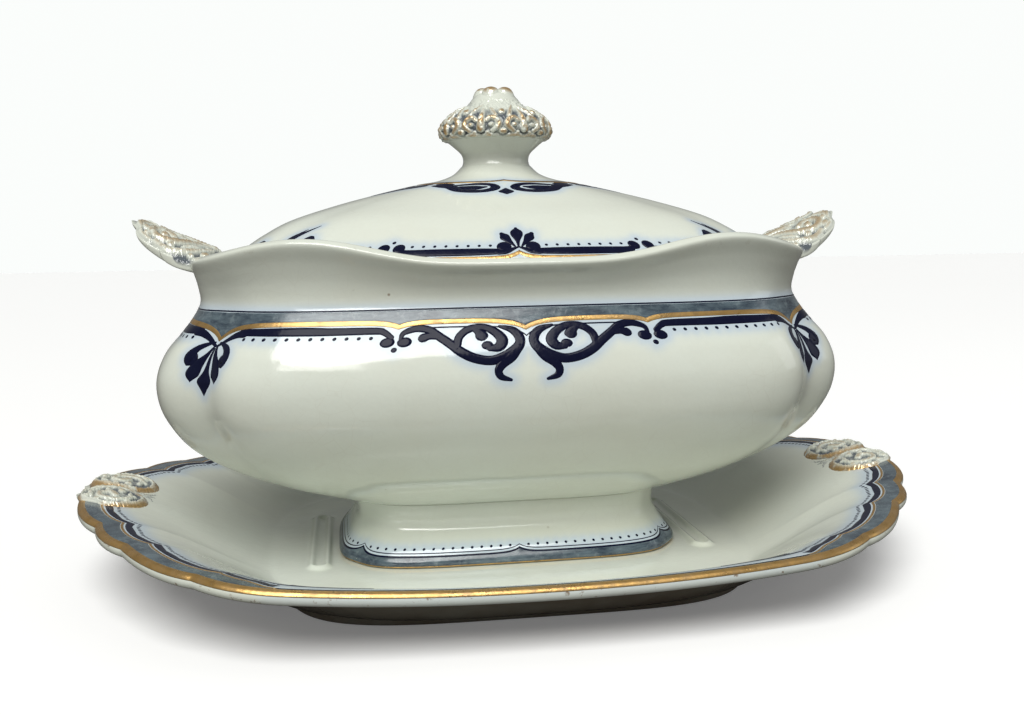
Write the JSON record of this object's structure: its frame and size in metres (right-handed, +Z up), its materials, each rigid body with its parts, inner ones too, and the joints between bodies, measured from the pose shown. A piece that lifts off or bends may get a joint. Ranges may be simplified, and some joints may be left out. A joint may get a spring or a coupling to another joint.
{
  "type": "covered sauce tureen on an underplate",
  "caption": "Covered gravy tureen of glazed earthenware with lid, knob and lobed handles, standing on a matching handled underplate, with dark blue printed borders and gilt lines.",
  "frame": {"origin": "centre of the resting plane under the underplate's foot ring", "axes": "+X runs from handle to handle, +Y across the short way, +Z up through the knob"},
  "size_m": [0.2392, 0.17, 0.1354],
  "materials": {
    "glaze": "gloss",
    "relief_glaze": "gloss",
    "cobalt_print": "gloss",
    "blue_wash": "gloss",
    "gilding": "polished"
  },
  "bodies": {
    "stand": {"stand_dish": "glaze", "stand_foot_ring": "glaze", "stand_handle_left": "relief_glaze", "stand_handle_right": "relief_glaze"},
    "tureen": {"tureen_bowl": "glaze", "tureen_foot": "glaze", "tureen_handle_left": "relief_glaze", "tureen_handle_right": "relief_glaze"},
    "lid": {"lid_shell": "glaze", "lid_knob": "relief_glaze"}
  },
  "joints": [
    {"name": "tureen_lift", "type": "slide", "parent": "stand", "child": "tureen", "axis": [0, 0, 1], "range_m": [0, 0.06]},
    {"name": "lid_lift", "type": "slide", "parent": "tureen", "child": "lid", "axis": [0, 0, 1], "range_m": [0, 0.06]}
  ]
}
